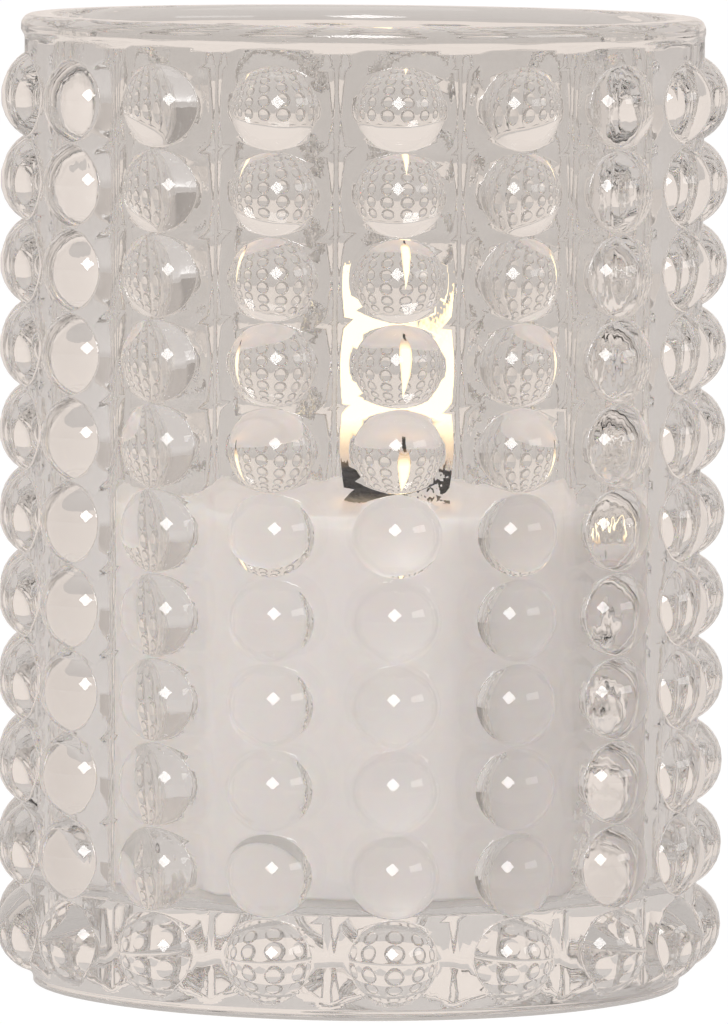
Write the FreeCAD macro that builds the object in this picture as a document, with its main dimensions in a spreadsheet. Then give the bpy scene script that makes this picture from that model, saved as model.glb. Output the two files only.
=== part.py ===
import FreeCAD, Part
import math
import os
import Sketcher

# Ribbed and beaded glass tealight holder with a wax candle standing loose in it.
# Origin: centre of the resting face. +Z is up, along the axis of the glass. All sizes in millimetres.

os.makedirs("parts", exist_ok=True)
doc = FreeCAD.newDocument("tealight_holder")

driving_sizes = {
    # glass: overall
    "glass_height": 100.0,
    "rim_radius": 35.2,
    "rim_band": 1.7,
    "rim_round": 1.15,
    "wall_core_radius": 33.4,
    "flare_height": 1.6,
    # glass: ribs and beads
    "rib_count": 17,
    "rib_round_radius": 12.3,
    "rib_crest_radius": 35.15,
    "rib_overrun": 0.4,
    "bead_rows": 11,
    "bead_radius": 4.7,
    "bead_peak_radius": 37.7,
    "bead_pitch": 8.55,
    "first_bead_height": 6.25,
    "column_turn": 6.3,
    # glass: foot, hollow and underside
    "foot_radius": 32.8,
    "foot_sweep_height": 4.6,
    "foot_sweep_radius": 6.5,
    "foot_sweep_reach": 1.0,
    "hollow_mouth_radius": 31.2,
    "hollow_floor_radius": 29.9,
    "hollow_corner_round": 2.4,
    "floor_thickness": 10.2,
    "mouth_bevel_width": 1.05,
    "mouth_bevel_height": 1.3,
    "recess_radius": 26.0,
    "recess_depth": 0.9,
    "recess_slope": 1.8,
    "cutter_clearance": 2.0,
    # candle
    "candle_radius": 25.8,
    "candle_foot_radius": 24.98,
    "candle_height": 39.9,
    "candle_shoulder": 1.3,
    "candle_foot_round": 1.2,
    "candle_side_shift": 3.15,
    "candle_rest_gap": 0.1,
    "melt_pool_radius": 20.0,
    "melt_pool_depth": 0.7,
    "melt_pool_slope": 3.0,
    # wick and its sustainer
    "wick_radius": 0.5,
    "wick_side_shift": 0.45,
    "wick_bare_straight": 2.0,
    "wick_tip_bend_radius": 7.0,
    "wick_tip_bend": 22.0,
    "wick_hole_clearance": 0.06,
    "wick_foot_gap": 0.03,
    "tab_radius": 7.5,
    "tab_sheet": 0.3,
    "tab_neck_radius": 1.1,
    "tab_neck_height": 3.2,
    "tab_clearance": 0.15,
}

on_axis_tolerance = 1e-9

sizes = doc.addObject("Spreadsheet::Sheet", "sizes")
for row_number, (size_name, size_value) in enumerate(driving_sizes.items(), start=1):
    sizes.set(f"A{row_number}", size_name)
    sizes.set(f"B{row_number}", str(size_value))
    sizes.setAlias(f"B{row_number}", size_name)
doc.recompute()


def size(alias):
    """Number held by a cell of the sheet."""
    return float(sizes.get(alias))


def cells(expression):
    """The same expression with every size name written as a reference to its cell."""
    pieces = []
    for word in expression.split(" "):
        pieces.append(f"sizes.{word}" if word in driving_sizes else word)
    return " ".join(pieces)


def value_of(expression):
    """Value in millimetres of a space-separated sum of size names and numbers."""
    total = 0.0
    sign = 1.0
    for word in expression.split(" "):
        if word == "+":
            sign = 1.0
        elif word == "-":
            sign = -1.0
        else:
            total += sign * (size(word) if word in driving_sizes else float(word))
    return total


def new_body(label):
    body = doc.addObject("PartDesign::Body", label)
    body.Label = label
    return body


def origin_feature(body, role):
    for feature in body.Origin.OriginFeatures:
        if feature.Role == role:
            return feature
    raise ValueError(role)


def new_sketch(body, name, plane_role):
    sketch = body.newObject("Sketcher::SketchObject", name)
    sketch.AttachmentSupport = [(origin_feature(body, plane_role), "")]
    sketch.MapMode = "FlatFace"
    return sketch


def bind(sketch, constraint_index, name, expression):
    """Name a dimension and tie it to the sheet."""
    sketch.renameConstraint(constraint_index, name)
    sketch.setExpression(f"Constraints.{name}", cells(expression))


def place_point(sketch, geometry, position, name, across, up):
    """Fix one point of a sketch at (across, up), both written in sheet names."""
    for axis_name, kind, expression in (("across", "DistanceX", across), ("up", "DistanceY", up)):
        distance = value_of(expression)
        if math.isclose(distance, 0.0, abs_tol=on_axis_tolerance):
            reference = -2 if kind == "DistanceX" else -1
            sketch.addConstraint(Sketcher.Constraint("PointOnObject", geometry, position, reference))
            continue
        ends = (-1, 1, geometry, position, distance)
        index = sketch.addConstraint(Sketcher.Constraint(kind, *ends))
        bind(sketch, index, f"{name}_{axis_name}", expression)


def rounded_outline(sketch, corners):
    """Closed outline through corners (name, across, up, round radius or None), in sheet names.

    Each corner is a construction point that its two sides aim at. A round joins the sides tangentially.
    """
    places = [FreeCAD.Vector(value_of(across), value_of(up), 0) for _, across, up, _ in corners]
    count = len(corners)
    starts, ends, arcs = [], [], []
    for index, (_, _, _, rounding) in enumerate(corners):
        corner = places[index]
        to_last = (places[index - 1] - corner).normalize()
        to_next = (places[(index + 1) % count] - corner).normalize()
        if rounding is None:
            starts.append(corner)
            ends.append(corner)
            arcs.append(None)
            continue
        radius = value_of(rounding)
        half_angle = to_last.getAngle(to_next) / 2
        setback = radius / math.tan(half_angle)
        centre = corner + (to_last + to_next).normalize() * (radius / math.sin(half_angle))
        first = corner + to_last * setback
        last = corner + to_next * setback
        ends.append(first)
        starts.append(last)
        arcs.append((centre, first, last, radius))
    corner_ids = [sketch.addGeometry(Part.Point(place), True) for place in places]
    side_ids = []
    for index in range(count):
        side = Part.LineSegment(starts[index], ends[(index + 1) % count])
        side_ids.append(sketch.addGeometry(side, False))
    for index, (name, across, up, rounding) in enumerate(corners):
        place_point(sketch, corner_ids[index], 1, name, across, up)
        side_in, side_out = side_ids[index - 1], side_ids[index]
        if arcs[index] is None:
            sketch.addConstraint(Sketcher.Constraint("Coincident", side_in, 2, corner_ids[index], 1))
            sketch.addConstraint(Sketcher.Constraint("Coincident", side_out, 1, corner_ids[index], 1))
            continue
        for side in (side_in, side_out):
            sketch.addConstraint(Sketcher.Constraint("PointOnObject", corner_ids[index], 1, side))
        centre, first, last, radius = arcs[index]
        first_angle = math.atan2(first.y - centre.y, first.x - centre.x)
        last_angle = math.atan2(last.y - centre.y, last.x - centre.x)
        sweep = math.remainder(last_angle - first_angle, 2 * math.pi)
        # An arc always runs anticlockwise, so on a clockwise turn it starts at the far side.
        near_in, near_out = (1, 2) if sweep > 0 else (2, 1)
        start_angle = first_angle if sweep > 0 else last_angle
        whole_circle = Part.Circle(centre, FreeCAD.Vector(0, 0, 1), radius)
        arc = Part.ArcOfCircle(whole_circle, start_angle, start_angle + abs(sweep))
        arc_id = sketch.addGeometry(arc, False)
        sketch.addConstraint(Sketcher.Constraint("Tangent", side_in, 2, arc_id, near_in))
        sketch.addConstraint(Sketcher.Constraint("Tangent", side_out, 1, arc_id, near_out))
        radius_index = sketch.addConstraint(Sketcher.Constraint("Radius", arc_id, radius))
        bind(sketch, radius_index, f"{name}_round", rounding)


def turned(body, kind, name, sketch, axis="V_Axis"):
    """Revolve a sketch a full turn about an upright axis, adding or removing material."""
    feature = body.newObject(f"PartDesign::{kind}", name)
    feature.Profile = sketch
    feature.ReferenceAxis = (sketch, [axis])
    feature.Angle = 360
    doc.recompute()
    return feature


def make_glass_holder():
    """Pressed glass cup: a core of revolution, ribs, beads, a swept-in foot, the hollow and the underside."""
    body = new_body("glass_holder")

    # Solid core. Under the rim band it flares out, so each groove ends in a small arch.
    core_outline = new_sketch(body, "core_outline", "XZ_Plane")
    rounded_outline(core_outline, [
        ("axis_foot", "0", "0", None),
        ("core_foot", "wall_core_radius", "0", None),
        ("flare_foot", "wall_core_radius", "glass_height - rim_band - flare_height", None),
        ("band_foot", "rim_radius", "glass_height - rim_band", None),
        ("rim_corner", "rim_radius", "glass_height", "rim_round"),
        ("axis_top", "0", "glass_height", None),
    ])
    turned(body, "Revolution", "core", core_outline)

    # One rib is a round column sunk into the core. It stops under the rim band.
    rib_outline = new_sketch(body, "rib_outline", "XY_Plane")
    rib_centre = size("rib_crest_radius") - size("rib_round_radius")
    circle = rib_outline.addGeometry(
        Part.Circle(FreeCAD.Vector(0, -rib_centre, 0), FreeCAD.Vector(0, 0, 1), size("rib_round_radius")), False)
    place_point(rib_outline, circle, 3, "rib_centre", "0", "rib_round_radius - rib_crest_radius")
    radius_index = rib_outline.addConstraint(
        Sketcher.Constraint("Radius", circle, size("rib_round_radius")))
    bind(rib_outline, radius_index, "rib_radius", "rib_round_radius")
    rib = body.newObject("PartDesign::Pad", "rib")
    rib.Profile = rib_outline
    rib.setExpression("Length", cells("glass_height - rim_band + rib_overrun"))
    doc.recompute()
    ribs = body.newObject("PartDesign::PolarPattern", "ribs")
    ribs.Originals = [rib]
    ribs.Axis = (origin_feature(body, "Z_Axis"), [""])
    ribs.Angle = 360
    ribs.setExpression("Occurrences", cells("rib_count"))
    body.Tip = ribs
    doc.recompute()

    # The foot sweeps in under the lowest beads before they are added.
    clear_radius = "rib_crest_radius + foot_sweep_reach + cutter_clearance"
    clear_height = "foot_sweep_height + foot_sweep_reach + cutter_clearance"
    foot_outline = new_sketch(body, "foot_outline", "XZ_Plane")
    rounded_outline(foot_outline, [
        ("foot_edge", "foot_radius", "0 - cutter_clearance", None),
        ("clear_low", clear_radius, "0 - cutter_clearance", None),
        ("clear_high", clear_radius, clear_height, None),
        ("sweep_end", "rib_crest_radius + foot_sweep_reach", clear_height, None),
        ("sweep_knee", "rib_crest_radius + foot_sweep_reach", "foot_sweep_height", "foot_sweep_radius"),
        ("foot_corner", "foot_radius", "0", None),
    ])
    turned(body, "Groove", "foot_sweep", foot_outline)

    # One bead is a ball sunk into the crest of a rib. It repeats up the rib, then round the glass.
    bead = body.newObject("PartDesign::AdditiveSphere", "bead")
    bead.AttachmentSupport = [(origin_feature(body, "XY_Plane"), "")]
    bead.MapMode = "FlatFace"
    bead.setExpression("Radius", cells("bead_radius"))
    bead.setExpression("AttachmentOffset.Base.y", cells("bead_radius - bead_peak_radius"))
    bead.setExpression("AttachmentOffset.Base.z", cells("first_bead_height"))
    doc.recompute()
    column = body.newObject("PartDesign::LinearPattern", "bead_column")
    column.Direction = (origin_feature(body, "Z_Axis"), [""])
    column.setExpression("Length", "sizes.bead_pitch * ( sizes.bead_rows - 1 )")
    column.setExpression("Occurrences", cells("bead_rows"))
    ring = body.newObject("PartDesign::PolarPattern", "bead_ring")
    ring.Axis = (origin_feature(body, "Z_Axis"), [""])
    ring.Angle = 360
    ring.setExpression("Occurrences", cells("rib_count"))
    beads = body.newObject("PartDesign::MultiTransform", "beads")
    beads.Originals = [bead]
    beads.Transformations = [column, ring]
    beads.Refine = False
    body.Tip = beads
    doc.recompute()

    # The hollow is cut last, so it also trims what ribs and beads reach inside the wall.
    hollow_outline = new_sketch(body, "hollow_outline", "XZ_Plane")
    rounded_outline(hollow_outline, [
        ("hollow_axis_low", "0", "floor_thickness", None),
        ("hollow_corner", "hollow_floor_radius", "floor_thickness", "hollow_corner_round"),
        ("mouth_knee", "hollow_mouth_radius", "glass_height - mouth_bevel_height", None),
        ("mouth_edge", "hollow_mouth_radius + mouth_bevel_width", "glass_height", None),
        ("mouth_clear", "hollow_mouth_radius + mouth_bevel_width", "glass_height + cutter_clearance", None),
        ("hollow_axis_high", "0", "glass_height + cutter_clearance", None),
    ])
    turned(body, "Groove", "hollow", hollow_outline)

    recess_outline = new_sketch(body, "recess_outline", "XZ_Plane")
    rounded_outline(recess_outline, [
        ("recess_axis_low", "0", "0 - cutter_clearance", None),
        ("recess_edge_low", "recess_radius", "0 - cutter_clearance", None),
        ("recess_edge", "recess_radius", "0", None),
        ("recess_shoulder", "recess_radius - recess_slope", "recess_depth", None),
        ("recess_axis_high", "0", "recess_depth", None),
    ])
    turned(body, "Groove", "underside_recess", recess_outline)

    body.setExpression("Placement.Rotation.Angle", cells("column_turn"))
    body.Placement.Rotation.Axis = FreeCAD.Vector(0, 0, 1)
    return body


def stand_on_floor(body, side_shift):
    """Set a piece of the candle on the floor of the glass, its own axis side_shift from the glass axis."""
    body.setExpression("Placement.Base.x", cells(side_shift))
    body.setExpression("Placement.Base.z", cells("floor_thickness + candle_rest_gap"))


def make_wax_candle():
    """Cast wax, a little wider at the top, with a shallow melt pool and a bore for the wick and sustainer."""
    body = new_body("wax_candle")
    outline = new_sketch(body, "wax_outline", "XZ_Plane")
    rounded_outline(outline, [
        ("axis_foot", "0", "0", None),
        ("wax_foot", "candle_foot_radius", "0", "candle_foot_round"),
        ("wax_shoulder", "candle_radius", "candle_height", "candle_shoulder"),
        ("pool_edge", "melt_pool_radius", "candle_height", None),
        ("pool_slope", "melt_pool_radius - melt_pool_slope", "candle_height - melt_pool_depth", None),
        ("axis_top", "0", "candle_height - melt_pool_depth", None),
    ])
    turned(body, "Revolution", "wax", outline)

    # The bore stands a little off the candle's axis, so it is turned about a line of its own.
    bore_outline = new_sketch(body, "bore_outline", "XZ_Plane")
    shift = size("wick_side_shift")
    axis_foot = FreeCAD.Vector(shift, 0, 0)
    axis_top = FreeCAD.Vector(shift, size("candle_height"), 0)
    axis_line = bore_outline.addGeometry(Part.LineSegment(axis_foot, axis_top), True)
    place_point(bore_outline, axis_line, 1, "bore_axis_foot", "wick_side_shift", "0")
    place_point(bore_outline, axis_line, 2, "bore_axis_top", "wick_side_shift", "candle_height")
    tab_seat = "wick_side_shift + tab_radius + tab_clearance"
    tab_seat_top = "tab_sheet + tab_clearance + tab_clearance"
    neck_seat = "wick_side_shift + tab_neck_radius + tab_clearance"
    neck_seat_top = "tab_sheet + tab_neck_height + tab_clearance + tab_clearance"
    hole = "wick_side_shift + wick_radius + wick_hole_clearance"
    rounded_outline(bore_outline, [
        ("bore_low", "wick_side_shift", "0 - cutter_clearance", None),
        ("tab_seat_low", tab_seat, "0 - cutter_clearance", None),
        ("tab_seat_top", tab_seat, tab_seat_top, None),
        ("neck_seat_low", neck_seat, tab_seat_top, None),
        ("neck_seat_top", neck_seat, neck_seat_top, None),
        ("hole_low", hole, neck_seat_top, None),
        ("hole_high", hole, "candle_height + cutter_clearance", None),
        ("bore_high", "wick_side_shift", "candle_height + cutter_clearance", None),
    ])
    turned(body, "Groove", "bore", bore_outline, axis="Axis0")
    stand_on_floor(body, "candle_side_shift")
    return body


def make_wick():
    """Round braided wick swept along a straight run that ends in a bent tip."""
    body = new_body("wick")
    path = new_sketch(body, "wick_path", "XZ_Plane")
    low = size("tab_sheet") + size("tab_clearance")
    high = size("candle_height") - size("melt_pool_depth") + size("wick_bare_straight")
    bend_radius = size("wick_tip_bend_radius")
    bend = math.radians(size("wick_tip_bend"))
    bend_centre = FreeCAD.Vector(-bend_radius, high, 0)
    middle = bend_centre + FreeCAD.Vector(math.cos(bend / 2), math.sin(bend / 2), 0) * bend_radius
    tip = bend_centre + FreeCAD.Vector(math.cos(bend), math.sin(bend), 0) * bend_radius
    run = path.addGeometry(Part.LineSegment(FreeCAD.Vector(0, low, 0), FreeCAD.Vector(0, high, 0)), False)
    curl = path.addGeometry(Part.Arc(FreeCAD.Vector(0, high, 0), middle, tip), False)
    place_point(path, run, 1, "wick_foot", "0", "tab_sheet + tab_clearance")
    path.addConstraint(Sketcher.Constraint("Vertical", run))
    path.addConstraint(Sketcher.Constraint("Tangent", run, 2, curl, 1))
    run_index = path.addConstraint(Sketcher.Constraint("DistanceY", run, 1, run, 2, high - low))
    bind(path, run_index, "wick_run",
         "candle_height - melt_pool_depth + wick_bare_straight - tab_sheet - tab_clearance")
    bend_index = path.addConstraint(Sketcher.Constraint("Radius", curl, bend_radius))
    bind(path, bend_index, "wick_bend", "wick_tip_bend_radius")
    tip_index = path.addConstraint(Sketcher.Constraint("DistanceY", curl, 1, curl, 2, tip.y - high))
    path.renameConstraint(tip_index, "wick_tip_rise")
    path.setExpression("Constraints.wick_tip_rise",
                       "sizes.wick_tip_bend_radius * sin(sizes.wick_tip_bend * 1 deg)")
    section = new_sketch(body, "wick_section", "XY_Plane")
    section.setExpression("AttachmentOffset.Base.z", cells("tab_sheet + tab_clearance"))
    circle = section.addGeometry(
        Part.Circle(FreeCAD.Vector(0, 0, 0), FreeCAD.Vector(0, 0, 1), size("wick_radius")), False)
    section.addConstraint(Sketcher.Constraint("Coincident", circle, 3, -1, 1))
    radius_index = section.addConstraint(Sketcher.Constraint("Radius", circle, size("wick_radius")))
    bind(section, radius_index, "wick_girth", "wick_radius")
    doc.recompute()
    cotton = body.newObject("PartDesign::AdditivePipe", "cotton")
    cotton.Profile = section
    cotton.Spine = (path, ["Edge1", "Edge2"])
    doc.recompute()
    stand_on_floor(body, "candle_side_shift + wick_side_shift")
    return body


def make_wick_tab():
    """Pressed steel disc with an upright neck crimped round the foot of the wick."""
    body = new_body("wick_tab")
    outline = new_sketch(body, "tab_outline", "XZ_Plane")
    bore = "wick_radius + wick_hole_clearance"
    sheet_top = "tab_clearance + tab_sheet"
    # The disc is closed under the wick, which ends just above it.
    rounded_outline(outline, [
        ("disc_axis", "0", "tab_clearance", None),
        ("disc_edge_low", "tab_radius", "tab_clearance", None),
        ("disc_edge_high", "tab_radius", sheet_top, None),
        ("neck_foot", "tab_neck_radius", sheet_top, None),
        ("neck_top", "tab_neck_radius", "tab_sheet + tab_neck_height", None),
        ("bore_top", bore, "tab_sheet + tab_neck_height", None),
        ("bore_foot", bore, "tab_clearance + tab_sheet - wick_foot_gap", None),
        ("bore_axis", "0", "tab_clearance + tab_sheet - wick_foot_gap", None),
    ])
    turned(body, "Revolution", "pressing", outline)
    stand_on_floor(body, "candle_side_shift + wick_side_shift")
    return body


subparts = [make_glass_holder(), make_wax_candle(), make_wick(), make_wick_tab()]
doc.recompute()

for item in doc.Objects:
    if {"Invalid", "Error"} & set(item.State):
        raise RuntimeError(f"{item.Name} failed: {item.State}")
for piece in subparts:
    if piece.Shape.isNull() or not piece.Shape.isValid():
        raise RuntimeError(f"{piece.Label} has no valid shape")
    if len(piece.Shape.Solids) != 1:
        raise RuntimeError(f"{piece.Label} is {len(piece.Shape.Solids)} solids")

for piece in subparts:
    piece.Shape.exportStep(f"parts/{piece.Label}.step")
    box = piece.Shape.BoundBox
    print(f"{piece.Label}: {piece.Shape.Volume / 1000:.2f} cm3, {len(piece.Shape.Faces)} faces, "
          f"{box.XLength:.2f} x {box.YLength:.2f} x {box.ZLength:.2f} mm, "
          f"z {box.ZMin:.2f} to {box.ZMax:.2f}")
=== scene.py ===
import bpy
import math
import numpy as np
from mathutils import Matrix, Vector, noise


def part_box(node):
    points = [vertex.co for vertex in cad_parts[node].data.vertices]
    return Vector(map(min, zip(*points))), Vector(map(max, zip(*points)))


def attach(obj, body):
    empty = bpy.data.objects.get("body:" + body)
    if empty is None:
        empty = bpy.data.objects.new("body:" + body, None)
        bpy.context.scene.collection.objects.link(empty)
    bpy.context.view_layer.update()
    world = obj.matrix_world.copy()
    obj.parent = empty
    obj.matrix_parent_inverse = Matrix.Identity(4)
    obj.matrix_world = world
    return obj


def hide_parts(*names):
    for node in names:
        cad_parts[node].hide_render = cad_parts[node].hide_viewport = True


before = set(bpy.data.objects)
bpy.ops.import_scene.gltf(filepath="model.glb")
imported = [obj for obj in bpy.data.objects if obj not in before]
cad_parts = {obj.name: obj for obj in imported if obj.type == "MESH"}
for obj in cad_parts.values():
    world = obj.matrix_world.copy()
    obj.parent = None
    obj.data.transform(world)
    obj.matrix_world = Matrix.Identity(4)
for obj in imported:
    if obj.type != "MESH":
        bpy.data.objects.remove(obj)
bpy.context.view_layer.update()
print("frame loaded")

mm = 0.001
glassLow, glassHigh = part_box("glass_holder")
waxLow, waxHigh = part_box("wax_candle")
wickLow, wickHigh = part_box("wick")
candleX = (waxLow.x + waxHigh.x) / 2
candleY = (waxLow.y + waxHigh.y) / 2
wickX = wickHigh.x - 0.5 * mm


# Meshes

def makeObject(name, vertices, faces, materials, faceSlots=None, normals=None):
    mesh = bpy.data.meshes.new(name)
    mesh.from_pydata([tuple(v) for v in vertices], [], faces)
    for material in materials:
        mesh.materials.append(material)
    if faceSlots is not None:
        mesh.polygons.foreach_set("material_index", faceSlots)
    mesh.polygons.foreach_set("use_smooth", [True] * len(mesh.polygons))
    mesh.update()
    if normals is not None:
        mesh.normals_split_custom_set_from_vertices([tuple(n) for n in normals])
    piece = bpy.data.objects.new(name, mesh)
    bpy.context.scene.collection.objects.link(piece)
    return piece


def joinRings(rings):
    # faces between neighbouring rings of point numbers; a ring of one point is a tip
    faces = []
    for lower, upper in zip(rings, rings[1:]):
        count = max(len(lower), len(upper))
        for k in range(count):
            after = (k + 1) % count
            if len(lower) == 1:
                faces.append((lower[0], upper[after], upper[k]))
            elif len(upper) == 1:
                faces.append((lower[k], lower[after], upper[0]))
            else:
                faces.append((lower[k], lower[after], upper[after], upper[k]))
    return faces


def ease(share):
    return share * share * (3 - 2 * share)


def quarterTurn(steps, first=0):
    # cosine and sine of evenly spaced angles from 0 to 90 degrees
    return [(math.cos(math.pi / 2 * k / steps), math.sin(math.pi / 2 * k / steps))
            for k in range(first, steps + 1)]


# Materials

def newMaterial(name):
    material = bpy.data.materials.new(name)
    material.use_nodes = True
    tree = material.node_tree
    tree.nodes.clear()
    output = tree.nodes.new("ShaderNodeOutputMaterial")
    shader = tree.nodes.new("ShaderNodeBsdfPrincipled")
    tree.links.new(shader.outputs["BSDF"], output.inputs["Surface"])
    return material, tree.nodes, tree.links, shader, output


def makeGrainGroup():
    # noise over the object's own coordinates, as a raw height and as a value between two limits
    group = bpy.data.node_groups.new("fineGrain", "ShaderNodeTree")
    for name, value in (("Scale", 100.0), ("Detail", 2.0), ("Low", 0.0), ("High", 1.0)):
        socket = group.interface.new_socket(name, in_out="INPUT", socket_type="NodeSocketFloat")
        socket.default_value = value
    for name in ("Height", "Value"):
        group.interface.new_socket(name, in_out="OUTPUT", socket_type="NodeSocketFloat")
    given = group.nodes.new("NodeGroupInput")
    result = group.nodes.new("NodeGroupOutput")
    place = group.nodes.new("ShaderNodeTexCoord")
    grain = group.nodes.new("ShaderNodeTexNoise")
    limits = group.nodes.new("ShaderNodeMapRange")
    limits.inputs["From Min"].default_value = 0.3
    limits.inputs["From Max"].default_value = 0.7
    group.links.new(place.outputs["Object"], grain.inputs["Vector"])
    group.links.new(given.outputs["Scale"], grain.inputs["Scale"])
    group.links.new(given.outputs["Detail"], grain.inputs["Detail"])
    group.links.new(grain.outputs["Fac"], limits.inputs["Value"])
    group.links.new(given.outputs["Low"], limits.inputs["To Min"])
    group.links.new(given.outputs["High"], limits.inputs["To Max"])
    group.links.new(grain.outputs["Fac"], result.inputs["Height"])
    group.links.new(limits.outputs["Result"], result.inputs["Value"])
    return group


grainGroup = makeGrainGroup()


def addGrain(nodes, scale, detail, low, high):
    grain = nodes.new("ShaderNodeGroup")
    grain.node_tree = grainGroup
    grain.inputs["Scale"].default_value = scale
    grain.inputs["Detail"].default_value = detail
    grain.inputs["Low"].default_value = low
    grain.inputs["High"].default_value = high
    return grain


def addBump(nodes, links, height, strength, distance, shader):
    bump = nodes.new("ShaderNodeBump")
    bump.inputs["Strength"].default_value = strength
    bump.inputs["Distance"].default_value = distance
    links.new(height, bump.inputs["Height"])
    links.new(bump.outputs["Normal"], shader.inputs["Normal"])


def addRamp(nodes, links, fac, stops):
    # colour ramp through (position, colour) stops
    ramp = nodes.new("ShaderNodeValToRGB")
    elements = ramp.color_ramp.elements
    elements[0].position, elements[0].color = stops[0]
    elements[1].position, elements[1].color = stops[-1]
    for position, color in stops[1:-1]:
        elements.new(position).color = color
    links.new(fac, ramp.inputs["Fac"])
    return ramp.outputs["Color"]


def addHeightShare(nodes, links, low, high):
    # 0 at height low, 1 at height high
    place = nodes.new("ShaderNodeTexCoord")
    split = nodes.new("ShaderNodeSeparateXYZ")
    rise = nodes.new("ShaderNodeMapRange")
    rise.inputs["From Min"].default_value = low
    rise.inputs["From Max"].default_value = high
    links.new(place.outputs["Object"], split.inputs["Vector"])
    links.new(split.outputs["Z"], rise.inputs["Value"])
    return rise.outputs["Result"]


# Pressed glass: ribs that each carry a column of balls, a plain rim band, a foot that sweeps in

glass = {
    "ribs": 17,
    "beadRows": 11,
    "columnTurn": math.radians(6.3),
    "height": glassHigh.z,
    "ribRound": 12.3 * mm,
    "ribCrest": 35.15 * mm,
    "beadBall": 4.7 * mm,
    "beadPeak": 37.69 * mm,
    "beadPitch": 8.55 * mm,
    "firstBead": 6.25 * mm,
    "beadSeam": 0.16 * mm,
    "valleySoft": 0.10 * mm,
    "footSoft": 0.25 * mm,
    "coreSoft": 0.3 * mm,
    "coreRadius": 33.4 * mm,
    "rimRadius": 35.2 * mm,
    "rimBand": 1.7 * mm,
    "flare": 1.6 * mm,
    "rimRound": 1.15 * mm,
    "footRadius": 32.8 * mm,
    "footKnee": 36.15 * mm,
    "footKneeHeight": 4.6 * mm,
    "footKneeRound": 6.5 * mm,
    "mouthRadius": 31.2 * mm,
    "mouthRound": 1.35 * mm,
    "floorRadius": 29.9 * mm,
    "floorHeight": 10.2 * mm,
    "floorCorner": 2.4 * mm,
    "recessRadius": 26.0 * mm,
    "recessDepth": 0.9 * mm,
    "topSpokes": 14,
    "sideSpokes": 8,
    "innerRings": (0.28, 0.50, 0.68, 0.83, 0.93, 0.985),
    "outerRings": (0.03, 0.30, 0.62),
    "widestBead": 0.965,
    "footRings": (1.0, 0.88, 0.76, 0.62, 0.48, 0.34, 0.2, 0.1),
    "lipRings": (0.0, 0.12, 0.26, 0.4, 0.54, 0.68, 0.84, 1.0),
    "wallRings": 22,
    "waverSize": 0.035 * mm,
    "waverLength": 7 * mm,
    "ior": 1.5,
    "bumpDepth": 0.2 * mm,
    "outsideBump": 0.03,
    "outsideGrain": 160,
    "insideBump": 0.06,
    "insideGrain": 900,
    "tint": (0.955, 0.95, 0.94),
    "shadowTint": (0.9, 0.9, 0.89, 1),
}
cellTurn = math.pi / glass["ribs"]
cellRise = glass["beadPitch"] / 2


def smoothMax(a, b, soft):
    blend = np.maximum(soft - np.abs(a - b), 0.0) / soft
    return np.maximum(a, b) + blend * blend * soft / 4


def smoothMin(a, b, soft):
    return -smoothMax(-a, -b, soft)


def ribRadius(turn):
    centre = glass["ribCrest"] - glass["ribRound"]
    side = centre * np.sin(turn)
    return centre * np.cos(turn) + np.sqrt(glass["ribRound"] ** 2 - side ** 2)


def footRadiusAt(up):
    # the foot's own profile: a straight slope, then a round, then upright
    knee = glass["footKneeRound"]
    slopeX = glass["footKnee"] - glass["footRadius"]
    slopeZ = glass["footKneeHeight"]
    setback = knee * math.tan(math.atan2(slopeX, slopeZ) / 2)
    roundStart = slopeZ * (1 - setback / math.hypot(slopeX, slopeZ))
    roundEnd = slopeZ + setback
    straight = glass["footRadius"] + up * slopeX / slopeZ
    onRound = glass["footKnee"] - knee + np.sqrt(np.maximum(knee ** 2 - (roundEnd - up) ** 2, 0.0))
    return np.where(up < roundStart, straight, np.where(up < roundEnd, onRound, glass["footKnee"]))


def coreRadiusAt(up):
    flareFoot = glass["height"] - glass["rimBand"] - glass["flare"]
    share = ease(np.clip((up - flareFoot) / glass["flare"], 0.0, 1.0))
    return glass["coreRadius"] + (glass["rimRadius"] - glass["coreRadius"]) * share


def beadRadiusAt(turn, up, row):
    centre = glass["beadPeak"] - glass["beadBall"]
    rise = up - (glass["firstBead"] + row * glass["beadPitch"])
    inside = glass["beadBall"] ** 2 - (centre * np.sin(turn)) ** 2 - rise ** 2
    return np.where(inside > 0, centre * np.cos(turn) + np.sqrt(np.maximum(inside, 0.0)), 0.0)


def bodyRadius(turn, up):
    near = np.abs(turn)
    radius = smoothMax(ribRadius(near), ribRadius(2 * cellTurn - near), glass["valleySoft"])
    radius = smoothMin(radius, footRadiusAt(up), glass["footSoft"])
    return smoothMax(radius, coreRadiusAt(up), glass["coreSoft"])


def outerRadius(turn, up):
    # turn is measured from the crest of the nearest rib
    radius = bodyRadius(turn, up)
    nearest = np.clip(np.round((up - glass["firstBead"]) / glass["beadPitch"]), 0, glass["beadRows"] - 1)
    for step in (-1, 0, 1):
        row = nearest + step
        bead = np.where((row >= 0) & (row < glass["beadRows"]), beadRadiusAt(turn, up, row), 0.0)
        radius = smoothMax(radius, bead, glass["beadSeam"])
    return radius


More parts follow.
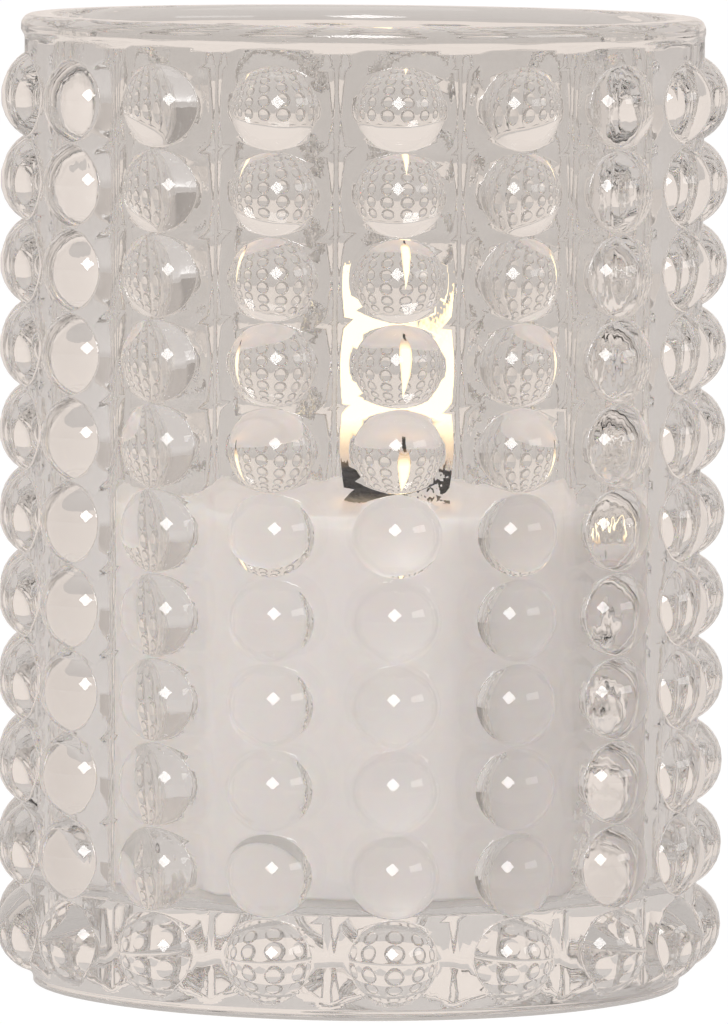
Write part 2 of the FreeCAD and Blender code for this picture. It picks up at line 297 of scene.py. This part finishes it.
def outerPoints(turn, up, column):
    # places on the outside of one column, and the normals there
    step = 0.004 * mm
    turnStep = step / glass["ribCrest"]
    around = column * 2 * cellTurn + glass["columnTurn"]

    def place(moreTurn, moreUp):
        local = turn + moreTurn
        radius = outerRadius(local, up + moreUp)
        angle = around + local
        return np.stack([radius * np.sin(angle), -radius * np.cos(angle), up + moreUp], axis=-1)

    alongTurn = place(turnStep, 0) - place(-turnStep, 0)
    alongUp = place(0, step) - place(0, -step)
    normal = np.cross(alongTurn, alongUp)
    normal /= np.linalg.norm(normal, axis=-1, keepdims=True)
    return place(0, 0), normal


def cellBoundary():
    # the edge of one ball's cell, as (turn, up) from its centre, evenly spaced in direction
    halfWidth = cellTurn * glass["ribCrest"]
    corner = math.atan2(cellRise, halfWidth)
    sides = ((-corner, corner, glass["sideSpokes"]),
             (corner, math.pi - corner, glass["topSpokes"]),
             (math.pi - corner, math.pi + corner, glass["sideSpokes"]),
             (math.pi + corner, 2 * math.pi - corner, glass["topSpokes"]))
    points = []
    for start, end, count in sides:
        for k in range(count):
            angle = start + (end - start) * k / count
            across = abs(math.cos(angle))
            rise = abs(math.sin(angle))
            reach = min(halfWidth / max(across, 1e-9), cellRise / max(rise, 1e-9))
            points.append((math.cos(angle) * reach / glass["ribCrest"], math.sin(angle) * reach))
    return points


class Shell:
    # collects welded points, their normals and the faces of the glass

    def __init__(self):
        self.points = []
        self.normals = []
        self.faces = []
        self.slots = []
        self.known = {}

    def vertex(self, point, normal):
        weld = 0.0005 * mm
        key = tuple(round(value / weld) for value in point)
        if key not in self.known:
            self.known[key] = len(self.points)
            self.points.append(point)
            self.normals.append(normal)
        return self.known[key]

    def ring(self, points, normals):
        return [self.vertex(p, n) for p, n in zip(points, normals)]

    def face(self, corners, slot):
        kept = [c for k, c in enumerate(corners) if c != corners[k - 1]]
        if len(set(kept)) > 2:
            self.faces.append(kept)
            self.slots.append(slot)

    def band(self, upper, lower, slot):
        for k in range(len(upper)):
            after = (k + 1) % len(upper)
            self.face([upper[k], upper[after], lower[after], lower[k]], slot)

    def cap(self, ring, centre, slot):
        for k in range(len(ring)):
            self.face([ring[k], ring[(k + 1) % len(ring)], centre], slot)


def beadEdgeShare(edgeTurn, edgeUp, row):
    # how far from the ball's centre to the cell's edge the ball meets the rib
    low = 0.0
    high = 1.0
    z = glass["firstBead"] + row * glass["beadPitch"]
    for _ in range(30):
        middle = (low + high) / 2
        ball = float(beadRadiusAt(edgeTurn * middle, z + edgeUp * middle, row))
        wall = float(bodyRadius(np.array(edgeTurn * middle), np.array(z + edgeUp * middle)))
        if ball > wall:
            low = middle
        else:
            high = middle
    return min(low, glass["widestBead"])


def buildBeads(shell, boundary):
    # rings of points spread out from each ball's tip to the edge of its cell
    edges = np.array(boundary)
    for row in range(glass["beadRows"]):
        z = glass["firstBead"] + row * glass["beadPitch"]
        shares = np.array([beadEdgeShare(turn, up, row) for turn, up in boundary])
        spread = [shares * part for part in glass["innerRings"]]
        spread += [shares + (1 - shares) * part for part in glass["outerRings"]]
        spread.append(np.ones(len(boundary)))
        spread = np.array(spread)
        for column in range(glass["ribs"]):
            points, normals = outerPoints(spread * edges[:, 0], spread * edges[:, 1] + z, column)
            tip, tipNormal = outerPoints(np.array([0.0]), np.array([z]), column)
            centre = shell.vertex(tip[0], tipNormal[0])
            rings = [shell.ring(p, n) for p, n in zip(points, normals)]
            shell.cap(rings[0], centre, 0)
            for inner, outer in zip(rings, rings[1:]):
                shell.band(outer, inner, 0)


def outerRing(shell, turns, up):
    ring = []
    for column in range(glass["ribs"]):
        points, normals = outerPoints(turns, np.full(len(turns), up), column)
        ring += shell.ring(points, normals)
    return ring


def wallWaver(angle, up, size):
    # slow unevenness of the inner wall, and its slopes around and up
    step = 0.2 * mm
    flatter = 0.55

    def shift(moreAround, moreUp):
        turned = angle + moreAround / glass["mouthRadius"]
        spot = Vector((math.sin(turned), -math.cos(turned), 0)) * glass["mouthRadius"]
        spot.z = (up + moreUp) * flatter
        return noise.noise(spot / glass["waverLength"]) * size

    slopeAround = (shift(step, 0) - shift(-step, 0)) / (2 * step)
    slopeUp = (shift(0, step) - shift(0, -step)) / (2 * step)
    return shift(0, 0), slopeAround, slopeUp


def turnedRing(shell, turns, radius, up, out, rise, waver=0.0):
    # one ring of a turned profile; (out, rise) is the profile's normal
    points = []
    normals = []
    for column in range(glass["ribs"]):
        for turn in turns:
            angle = column * 2 * cellTurn + glass["columnTurn"] + turn
            outward = Vector((math.sin(angle), -math.cos(angle), 0))
            around = Vector((math.cos(angle), math.sin(angle), 0))
            shift, slopeAround, slopeUp = wallWaver(angle, up, waver) if waver else (0.0, 0.0, 0.0)
            point = outward * (radius + shift)
            point.z = up
            normal = outward * out + around * slopeAround + Vector((0, 0, rise - slopeUp * abs(out)))
            points.append(tuple(point))
            normals.append(tuple(normal.normalized()))
    return shell.ring(points, normals)


def buildFoot(shell, turns):
    low = glass["firstBead"] - cellRise
    rings = [outerRing(shell, turns, low * share) for share in glass["footRings"]]
    recess = glass["recessRadius"]
    profile = (
        (glass["footRadius"], 0.07 * mm, 0.85, -0.53),
        (glass["footRadius"] - 0.35 * mm, 0.0, 0.05, -1.0),
        (recess + 0.5 * mm, 0.0, 0.0, -1.0),
        (recess - 0.1 * mm, 0.05 * mm, -0.3, -0.95),
        (recess - 1.0 * mm, 0.45 * mm, -0.42, -0.91),
        (recess - 1.9 * mm, 0.84 * mm, -0.2, -0.98),
        (recess - 2.6 * mm, glass["recessDepth"], 0.0, -1.0),
        (recess * 0.75, glass["recessDepth"], 0.0, -1.0),
        (recess * 0.5, glass["recessDepth"], 0.0, -1.0),
        (recess * 0.25, glass["recessDepth"], 0.0, -1.0),
    )
    rings += [turnedRing(shell, turns, radius, up, out, rise) for radius, up, out, rise in profile]
    for upper, lower in zip(rings, rings[1:]):
        shell.band(lower, upper, 0)
    bottom = shell.vertex((0, 0, glass["recessDepth"]), (0, 0, -1))
    shell.cap(rings[-1][::-1], bottom, 0)


def buildLip(shell, turns):
    high = glass["firstBead"] + (glass["beadRows"] - 1) * glass["beadPitch"] + cellRise
    bandTop = glass["height"] - glass["rimRound"]
    mouth = glass["mouthRound"]
    rings = [outerRing(shell, turns, high + (bandTop - high) * share) for share in glass["lipRings"]]
    for across, rise in quarterTurn(5, first=1):
        rings.append(turnedRing(shell, turns, glass["rimRadius"] - glass["rimRound"] * (1 - across),
                                bandTop + glass["rimRound"] * rise, across, rise))
    for rise, across in quarterTurn(6):
        rings.append(turnedRing(shell, turns, glass["mouthRadius"] + mouth * (1 - across),
                                glass["height"] - mouth * (1 - rise), -across, rise))
    for lower, upper in zip(rings, rings[1:]):
        shell.band(lower, upper, 0)
    return rings[-1]


def buildHollow(shell, turns, lipRing):
    corner = glass["floorCorner"]
    wallTop = glass["height"] - glass["mouthRound"]
    wallFoot = glass["floorHeight"] + corner
    taper = glass["floorRadius"] - glass["mouthRadius"]
    rings = [lipRing]
    for k in range(1, glass["wallRings"] + 1):
        share = k / glass["wallRings"]
        fade = min(1.0, 4 * share, 4 * (1 - share))
        rings.append(turnedRing(shell, turns, glass["mouthRadius"] + taper * share,
                                wallTop + (wallFoot - wallTop) * share,
                                -1.0, taper / (wallFoot - wallTop), glass["waverSize"] * fade))
    for across, rise in quarterTurn(5, first=1):
        rings.append(turnedRing(shell, turns, glass["floorRadius"] - corner * (1 - across),
                                wallFoot - corner * rise, -across, rise))
    for share in (0.8, 0.55, 0.3):
        rings.append(turnedRing(shell, turns, glass["floorRadius"] * share, glass["floorHeight"], 0.0, 1.0))
    for upper, lower in zip(rings, rings[1:]):
        shell.band(upper, lower, 1)
    shell.cap(rings[-1], shell.vertex((0, 0, glass["floorHeight"]), (0, 0, 1)), 1)


def buildGlass():
    shell = Shell()
    boundary = cellBoundary()
    topEdge = boundary[glass["sideSpokes"]:glass["sideSpokes"] + glass["topSpokes"]]
    turns = np.array(sorted(turn for turn, _ in topEdge))
    buildBeads(shell, boundary)
    buildFoot(shell, turns)
    buildHollow(shell, turns, buildLip(shell, turns))
    return shell


def glassMaterial(name, bumpStrength, grainScale):
    material, nodes, links, shader, output = newMaterial(name)
    shader.inputs["Roughness"].default_value = 0.0
    shader.inputs["IOR"].default_value = glass["ior"]
    shader.inputs["Transmission Weight"].default_value = 1.0
    grain = addGrain(nodes, grainScale, 2.0, 0.97, 1.0)
    tone = nodes.new("ShaderNodeVectorMath")
    tone.operation = "SCALE"
    tone.inputs[0].default_value = glass["tint"]
    links.new(grain.outputs["Value"], tone.inputs["Scale"])
    links.new(tone.outputs["Vector"], shader.inputs["Base Color"])
    addBump(nodes, links, grain.outputs["Height"], bumpStrength, glass["bumpDepth"], shader)
    path = nodes.new("ShaderNodeLightPath")
    through = nodes.new("ShaderNodeBsdfTransparent")
    through.inputs["Color"].default_value = glass["shadowTint"]
    mix = nodes.new("ShaderNodeMixShader")
    links.new(path.outputs["Is Shadow Ray"], mix.inputs["Fac"])
    links.new(shader.outputs["BSDF"], mix.inputs[1])
    links.new(through.outputs["BSDF"], mix.inputs[2])
    links.new(mix.outputs["Shader"], output.inputs["Surface"])
    return material


shell = buildGlass()
outerGlass = glassMaterial("clearGlassOutside", glass["outsideBump"], glass["outsideGrain"])
innerGlass = glassMaterial("clearGlassInside", glass["insideBump"], glass["insideGrain"])
holder = makeObject("glassHolder", shell.points, shell.faces, [outerGlass, innerGlass],
                    shell.slots, shell.normals)
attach(holder, "holder")
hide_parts("glass_holder")
print("glass built:", len(shell.points), "points", len(shell.faces), "faces")


# Candle

wax = {
    "radius": (waxHigh.x - waxLow.x) / 2,
    "footRadius": (waxHigh.x - waxLow.x) / 2 - 0.82 * mm,
    "foot": waxLow.z,
    "top": waxHigh.z,
    "shoulder": 1.3 * mm,
    "footRound": 1.2 * mm,
    "poolRadius": 20 * mm,
    "poolDepth": 0.7 * mm,
    "poolSlope": 3 * mm,
    "poolLip": 1.2 * mm,
    "seatRadius": 8.2 * mm,
    "sides": 96,
    "wallRings": 14,
    "poolRings": (13, 9, 6, 3.5, 2.0, 1.2, 0.7),
    "creepHeight": 0.25 * mm,
    "creepWidth": 0.9 * mm,
    "unevenLength": 11 * mm,
    "unevenSize": 0.03 * mm,
    "color": (0.885, 0.85, 0.85),
    "ior": 1.43,
    "softWeight": 0.6,
    "softSpread": (1.0, 0.75, 0.5),
    "softReach": 4 * mm,
    "roughness": (0.30, 0.50),
    "bump": 0.15,
    "bumpDepth": 0.3 * mm,
    # reach and strength of the painted glow that the wax gives off round the wick
    "paintedGlowReach": 24 * mm,
    "paintedGlowStrength": 0.20,
}


def waxProfile():
    foot = wax["foot"]
    top = wax["top"]
    edge = wax["radius"]
    pool = top - wax["poolDepth"]
    wallLow = foot + wax["footRound"]
    wallHigh = top - wax["shoulder"]
    profile = [(0.0, foot), (wax["seatRadius"], foot), (2 * wax["seatRadius"], foot)]
    for rise, across in quarterTurn(5):
        profile.append((wax["footRadius"] - wax["footRound"] * (1 - across),
                        foot + wax["footRound"] * (1 - rise)))
    for k in range(1, wax["wallRings"]):
        share = k / wax["wallRings"]
        profile.append((wax["footRadius"] + (edge - wax["footRadius"]) * share,
                        wallLow + (wallHigh - wallLow) * share))
    for across, rise in quarterTurn(6):
        profile.append((edge - wax["shoulder"] * (1 - across), top - wax["shoulder"] * (1 - rise)))
    for k in range(9):
        share = k / 8
        run = wax["poolLip"] - (wax["poolSlope"] + wax["poolLip"]) * share
        profile.append((wax["poolRadius"] + run, top - wax["poolDepth"] * ease(share)))
    for ring in wax["poolRings"]:
        creep = wax["creepHeight"] * math.exp(-(ring * mm / wax["creepWidth"]) ** 2)
        profile.append((ring * mm, pool + creep))
    profile.append((0.0, pool + wax["creepHeight"]))
    return profile


def buildWax():
    points = []
    rings = []
    for radius, z in waxProfile():
        ring = []
        for k in range(wax["sides"] if radius else 1):
            angle = 2 * math.pi * k / wax["sides"]
            across = Vector((math.cos(angle), math.sin(angle), 0))
            uneven = noise.noise((across * radius + Vector((0, 0, z))) / wax["unevenLength"])
            uneven *= wax["unevenSize"]
            onSide = radius > 0.9 * wax["radius"]
            onTop = z > wax["top"] - 2 * mm and radius > 2 * mm
            spot = across * (radius - abs(uneven) if onSide else radius)
            spot += Vector((candleX, candleY, min(z + (uneven / 2 if onTop else 0.0), wax["top"])))
            ring.append(len(points))
            points.append(spot)
        rings.append(ring)
    return points, joinRings(rings)


def waxMaterial():
    material, nodes, links, shader, _ = newMaterial("candleWax")
    shader.inputs["Subsurface Weight"].default_value = wax["softWeight"]
    shader.inputs["Subsurface Radius"].default_value = wax["softSpread"]
    shader.inputs["Subsurface Scale"].default_value = wax["softReach"]
    shader.inputs["IOR"].default_value = wax["ior"]
    grain = addGrain(nodes, 220, 5.0, *wax["roughness"])
    links.new(grain.outputs["Value"], shader.inputs["Roughness"])
    addBump(nodes, links, grain.outputs["Height"], wax["bump"], wax["bumpDepth"], shader)
    mottle = addGrain(nodes, 60, 3.0, 0.96, 1.0)
    tone = nodes.new("ShaderNodeVectorMath")
    tone.operation = "SCALE"
    tone.inputs[0].default_value = wax["color"]
    links.new(mottle.outputs["Value"], tone.inputs["Scale"])
    links.new(tone.outputs["Vector"], shader.inputs["Base Color"])
    # painted glow: the wax round the wick emits a warm light of its own, standing in for the flame's light
    # soaking into it
    place = nodes.new("ShaderNodeTexCoord")
    reach = nodes.new("ShaderNodeVectorMath")
    reach.operation = "DISTANCE"
    reach.inputs[1].default_value = (wickX, candleY, wax["top"])
    share = nodes.new("ShaderNodeMapRange")
    share.inputs["From Max"].default_value = wax["paintedGlowReach"]
    share.inputs["To Min"].default_value = 1.0
    share.inputs["To Max"].default_value = 0.0
    links.new(place.outputs["Object"], reach.inputs[0])
    links.new(reach.outputs["Value"], share.inputs["Value"])
    glow = addRamp(nodes, links, share.outputs["Result"],
                   ((0.0, (0, 0, 0, 1)), (0.55, (0.10, 0.045, 0.015, 1)), (1.0, (1.0, 0.55, 0.2, 1))))
    links.new(glow, shader.inputs["Emission Color"])
    shader.inputs["Emission Strength"].default_value = wax["paintedGlowStrength"]
    return material


waxPoints, waxFaces = buildWax()
candle = makeObject("waxCandle", waxPoints, waxFaces, [waxMaterial()])
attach(candle, "candle")
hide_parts("wax_candle")
print("candle built")


# Wick: three strands laid round each other, straight and then bent over at the tip

wick = {
    "radius": 0.5 * mm,
    "strands": 3,
    "strandSides": 10,
    "strandShare": 0.52,
    "lay": 2.6 * mm,
    "steps": 240,
    "endGap": 0.02 * mm,
    "tipTaper": 0.35,
    "fluff": 0.06,
    "bendStart": wax["top"] - wax["poolDepth"] + 2.0 * mm,
    "bendRadius": 7 * mm,
    "bend": math.radians(22),
    "charStart": wax["top"] - 1.2 * mm,
    "charFull": wax["top"] + 0.4 * mm,
    "cleanColor": (0.55, 0.48, 0.36, 1),
    "charColor": (0.012, 0.009, 0.008, 1),
}


def wickPath(distance):
    # place and direction on the centre line, distance measured up from the foot
    straight = wick["bendStart"] - wickLow.z
    angle = max(0.0, (distance - straight) / wick["bendRadius"])
    shift = wick["bendRadius"] * (1 - math.cos(angle))
    rise = wick["bendRadius"] * math.sin(angle)
    place = Vector((wickX - shift, candleY, wickLow.z + min(distance, straight) + rise))
    return place, Vector((-math.sin(angle), 0, math.cos(angle)))


def buildWick():
    length = wick["bendStart"] - wickLow.z + wick["bendRadius"] * wick["bend"]
    strandRadius = wick["radius"] * wick["strandShare"]
    side = Vector((0, 1, 0))
    points = []
    faces = []
    for strand in range(wick["strands"]):
        rings = []
        for k in range(wick["steps"] + 1):
            share = k / wick["steps"]
            distance = wick["endGap"] + (length - 2 * wick["endGap"]) * share
            middle, along = wickPath(distance)
            across = along.cross(side).normalized()
            turn = 2 * math.pi * (distance / wick["lay"] + strand / wick["strands"])
            taper = 1 - wick["tipTaper"] * max(0.0, (share - 0.97) / 0.03)
            away = across * math.cos(turn) + side * math.sin(turn)
            middle += away * taper * (wick["radius"] - strandRadius)
            ring = []
            for m in range(wick["strandSides"]):
                angle = -2 * math.pi * m / wick["strandSides"]
                fluff = noise.noise(Vector((angle, distance / (0.4 * mm), strand * 7.3)))
                reach = strandRadius * taper * (1 + wick["fluff"] * fluff)
                ring.append(len(points))
                points.append(middle + (across * math.cos(angle) + side * math.sin(angle)) * reach)
            rings.append(ring)
        faces += joinRings(rings)
        faces.append(tuple(reversed(rings[0])))
        faces.append(tuple(rings[-1]))
    return points, faces


def wickMaterial():
    material, nodes, links, shader, _ = newMaterial("charredWick")
    char = addHeightShare(nodes, links, wick["charStart"], wick["charFull"])
    color = addRamp(nodes, links, char, ((0.0, wick["cleanColor"]), (1.0, wick["charColor"])))
    links.new(color, shader.inputs["Base Color"])
    grain = addGrain(nodes, 5000, 3.0, 0.75, 1.0)
    links.new(grain.outputs["Value"], shader.inputs["Roughness"])
    addBump(nodes, links, grain.outputs["Height"], 0.6, 0.1 * mm, shader)
    return material


wickPoints, wickFaces = buildWick()
braid = makeObject("braidedWick", wickPoints, wickFaces, [wickMaterial()])
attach(braid, "candle")
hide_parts("wick")
print("wick built")


# Flame: the dark zone round the wick is clear, the luminous body starts at the wick's tip

flame = {
    "foot": wickHigh.z - 2.5 * mm,
    "height": 22.8 * mm,
    "radius": 1.8 * mm,
    "swell": 0.58,
    "lean": 0.35 * mm,
    "sides": 32,
    "rows": 40,
    "lightStart": wickHigh.z - 1.2 * mm,
    "lightFull": wickHigh.z + 4.0 * mm,
    "coreColor": (1.0, 0.86, 0.60, 1),
    "edgeColor": (1.0, 0.70, 0.36, 1),
    "footColor": (0.72, 0.50, 0.32, 1),
    "strength": 1.8,
}


def buildFlame():
    points = []
    rings = []
    for k in range(flame["rows"] + 1):
        share = k / flame["rows"]
        bulge = math.sin(math.pi * share ** flame["swell"]) ** 1.15
        radius = flame["radius"] * bulge if 0 < k < flame["rows"] else 0
        centre = Vector((wickX - flame["lean"] * math.sin(math.pi * share), candleY,
                         flame["foot"] + flame["height"] * share))
        ring = []
        for m in range(flame["sides"] if radius else 1):
            angle = 2 * math.pi * m / flame["sides"]
            ring.append(len(points))
            points.append(centre + Vector((math.cos(angle), math.sin(angle), 0)) * radius)
        rings.append(ring)
    return points, joinRings(rings)


def flameMaterial():
    material, nodes, links, shader, _ = newMaterial("candleFlame")
    shader.inputs["Base Color"].default_value = (0, 0, 0, 1)
    shader.inputs["Specular IOR Level"].default_value = 0.0
    shader.inputs["Emission Strength"].default_value = flame["strength"]
    rise = addHeightShare(nodes, links, flame["lightStart"], flame["lightFull"])
    edge = nodes.new("ShaderNodeLayerWeight")
    edge.inputs["Blend"].default_value = 0.5
    color = addRamp(nodes, links, edge.outputs["Facing"],
                    ((0.2, flame["coreColor"]), (0.8, flame["edgeColor"])))
    warm = addRamp(nodes, links, rise, ((0.2, flame["footColor"]), (1.0, (1, 1, 1, 1))))
    product = nodes.new("ShaderNodeVectorMath")
    product.operation = "MULTIPLY"
    links.new(color, product.inputs[0])
    links.new(warm, product.inputs[1])
    links.new(product.outputs["Vector"], shader.inputs["Emission Color"])
    soft = addRamp(nodes, links, edge.outputs["Facing"], ((0.45, (1, 1, 1, 1)), (0.95, (0, 0, 0, 1))))
    body = addRamp(nodes, links, rise,
                   ((0.0, (0, 0, 0, 1)), (0.5, (0.35, 0.35, 0.35, 1)), (1.0, (1, 1, 1, 1))))
    both = nodes.new("ShaderNodeMath")
    both.operation = "MULTIPLY"
    links.new(soft, both.inputs[0])
    links.new(body, both.inputs[1])
    links.new(both.outputs["Value"], shader.inputs["Alpha"])
    return material


flamePoints, flameFaces = buildFlame()
flameBody = makeObject("flame", flamePoints, flameFaces, [flameMaterial()])
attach(flameBody, "candle")
print("flame built")


# Sustainer under the wick: bright tinned sheet

tab = {
    "grain": 900,
    "roughness": (0.22, 0.42),
    "bump": 0.1,
    "bumpDepth": 0.05 * mm,
    "darkTin": (0.62, 0.62, 0.61, 1),
    "lightTin": (0.74, 0.74, 0.73, 1),
}


def tinMaterial():
    material, nodes, links, shader, _ = newMaterial("tinnedSheet")
    shader.inputs["Metallic"].default_value = 1.0
    grain = addGrain(nodes, tab["grain"], 3.0, *tab["roughness"])
    links.new(grain.outputs["Value"], shader.inputs["Roughness"])
    addBump(nodes, links, grain.outputs["Height"], tab["bump"], tab["bumpDepth"], shader)
    color = addRamp(nodes, links, grain.outputs["Height"], ((0.3, tab["darkTin"]), (0.7, tab["lightTin"])))
    links.new(color, shader.inputs["Base Color"])
    return material


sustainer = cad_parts["wick_tab"]
sustainer.data.materials.clear()
sustainer.data.materials.append(tinMaterial())
print("sustainer finished")


# Studio: pale floor and backdrop, one softbox on its corner in front, softer lights at the side and above

studio = {
    "cameraDistance": 1.10,
    "cameraHeight": 0.136,
    "lookAt": (0.46 * mm, 0.0, 48.76 * mm),
    "fieldHeight": math.radians(5.483),
    "roll": 0.0080,
    "roomColor": (1.0, 0.905, 0.84, 1),
    "roomBehind": 0.88,
    "roomInFront": 0.40,
    "roomAtSides": 0.72,
    "floorSize": 6.0,
    "floorColor": (0.78, 0.78, 0.79),
    "glowColor": (0.98, 0.92, 0.88, 1),
    "glowLevel": 0.68,
    "floorGlow": 0.6,
    "floorBright": 0.9,
    "lampTarget": (0, 0, 50 * mm),
}


def buildCamera():
    data = bpy.data.cameras.new("camera")
    data.sensor_fit = "VERTICAL"
    data.angle = studio["fieldHeight"]
    data.clip_start = 0.01
    camera = bpy.data.objects.new("camera", data)
    camera.location = (0, -studio["cameraDistance"], studio["cameraHeight"])
    aim = (Vector(studio["lookAt"]) - camera.location).to_track_quat("-Z", "Y").to_matrix().to_4x4()
    camera.rotation_euler = (aim @ Matrix.Rotation(studio["roll"], 4, "Z")).to_euler()
    bpy.context.scene.collection.objects.link(camera)
    bpy.context.scene.camera = camera


def addSoftbox(name, place, width, height, radiance, turn=0.0, gloss=True, diffuse=True):
    data = bpy.data.lights.new(name, "AREA")
    data.shape = "RECTANGLE"
    data.size = width
    data.size_y = height
    data.energy = math.pi * width * height * radiance
    lamp = bpy.data.objects.new(name, data)
    lamp.location = place
    aim = (Vector(studio["lampTarget"]) - Vector(place)).to_track_quat("-Z", "Y").to_matrix().to_4x4()
    lamp.rotation_euler = (aim @ Matrix.Rotation(turn, 4, "Z")).to_euler()
    lamp.visible_glossy = gloss
    lamp.visible_diffuse = diffuse
    lamp.visible_transmission = False
    bpy.context.scene.collection.objects.link(lamp)


def buildRoom():
    world = bpy.data.worlds.new("studio")
    bpy.context.scene.world = world
    world.use_nodes = True
    nodes = world.node_tree.nodes
    links = world.node_tree.links
    nodes.clear()
    output = nodes.new("ShaderNodeOutputWorld")
    place = nodes.new("ShaderNodeTexCoord")
    split = nodes.new("ShaderNodeSeparateXYZ")
    level = nodes.new("ShaderNodeMapRange")
    level.inputs["From Min"].default_value = -0.6
    level.inputs["From Max"].default_value = 0.3
    level.inputs["To Min"].default_value = studio["roomInFront"]
    level.inputs["To Max"].default_value = studio["roomBehind"]
    aside = nodes.new("ShaderNodeMath")
    aside.operation = "ABSOLUTE"
    shade = nodes.new("ShaderNodeMapRange")
    shade.inputs["From Min"].default_value = 0.45
    shade.inputs["From Max"].default_value = 0.95
    shade.inputs["To Min"].default_value = 1.0
    shade.inputs["To Max"].default_value = studio["roomAtSides"]
    both = nodes.new("ShaderNodeMath")
    both.operation = "MULTIPLY"
    room = nodes.new("ShaderNodeBackground")
    room.inputs["Color"].default_value = studio["roomColor"]
    links.new(place.outputs["Generated"], split.inputs["Vector"])
    links.new(split.outputs["Y"], level.inputs["Value"])
    links.new(split.outputs["X"], aside.inputs[0])
    links.new(aside.outputs["Value"], shade.inputs["Value"])
    links.new(level.outputs["Result"], both.inputs[0])
    links.new(shade.outputs["Result"], both.inputs[1])
    links.new(both.outputs["Value"], room.inputs["Strength"])
    plain = nodes.new("ShaderNodeBackground")
    path = nodes.new("ShaderNodeLightPath")
    mix = nodes.new("ShaderNodeMixShader")
    plain.inputs["Color"].default_value = (1, 1, 1, 1)
    links.new(path.outputs["Is Camera Ray"], mix.inputs["Fac"])
    links.new(room.outputs["Background"], mix.inputs[1])
    links.new(plain.outputs["Background"], mix.inputs[2])
    links.new(mix.outputs["Shader"], output.inputs["Surface"])


def buildFloor():
    reach = studio["floorSize"]
    corners = [(-reach, -reach, 0), (reach, -reach, 0), (reach, reach, 0), (-reach, reach, 0)]
    material, nodes, links, shader, output = newMaterial("paleFloor")
    shader.inputs["Roughness"].default_value = 0.7
    mottle = addGrain(nodes, 40, 3.0, 0.98, 1.0)
    tone = nodes.new("ShaderNodeVectorMath")
    tone.operation = "SCALE"
    tone.inputs[0].default_value = studio["floorColor"]
    links.new(mottle.outputs["Value"], tone.inputs["Scale"])
    links.new(tone.outputs["Vector"], shader.inputs["Base Color"])
    # the sheet glows like a light table, so no dark shadow shows through the thick foot
    glow = nodes.new("ShaderNodeEmission")
    bright = nodes.new("ShaderNodeEmission")
    path = nodes.new("ShaderNodeLightPath")
    share = nodes.new("ShaderNodeMath")
    share.operation = "MULTIPLY"
    share.inputs[1].default_value = studio["floorBright"]
    lit = nodes.new("ShaderNodeMixShader")
    mix = nodes.new("ShaderNodeMixShader")
    glow.inputs["Color"].default_value = studio["glowColor"]
    glow.inputs["Strength"].default_value = studio["glowLevel"]
    bright.inputs["Strength"].default_value = 1.06
    lit.inputs["Fac"].default_value = studio["floorGlow"]
    links.new(shader.outputs["BSDF"], lit.inputs[1])
    links.new(glow.outputs["Emission"], lit.inputs[2])
    links.new(path.outputs["Is Camera Ray"], share.inputs[0])
    links.new(share.outputs["Value"], mix.inputs["Fac"])
    links.new(lit.outputs["Shader"], mix.inputs[1])
    links.new(bright.outputs["Emission"], mix.inputs[2])
    links.new(mix.outputs["Shader"], output.inputs["Surface"])
    floor = makeObject("floor", corners, [(0, 1, 2, 3)], [material])


buildCamera()
buildRoom()
buildFloor()
addSoftbox("softboxFront", (-0.02, -1.0, 0.36), 0.42, 0.42, 11, math.radians(45), diffuse=False)
addSoftbox("softboxRight", (0.75, -0.40, 0.30), 0.55, 0.22, 3, diffuse=False)
addSoftbox("softboxFill", (-0.90, -0.55, 0.30), 0.4, 0.4, 9, gloss=False)
addSoftbox("softboxTop", (0.1, 0.2, 1.2), 0.9, 0.9, 0.8)
print("studio built")

scene = bpy.context.scene
scene.view_settings.view_transform = "Standard"
scene.cycles.max_bounces = 32
scene.cycles.transmission_bounces = 32
scene.cycles.glossy_bounces = 8
scene.cycles.transparent_max_bounces = 16
scene.cycles.sample_clamp_indirect = 8
scene.cycles.caustics_reflective = False
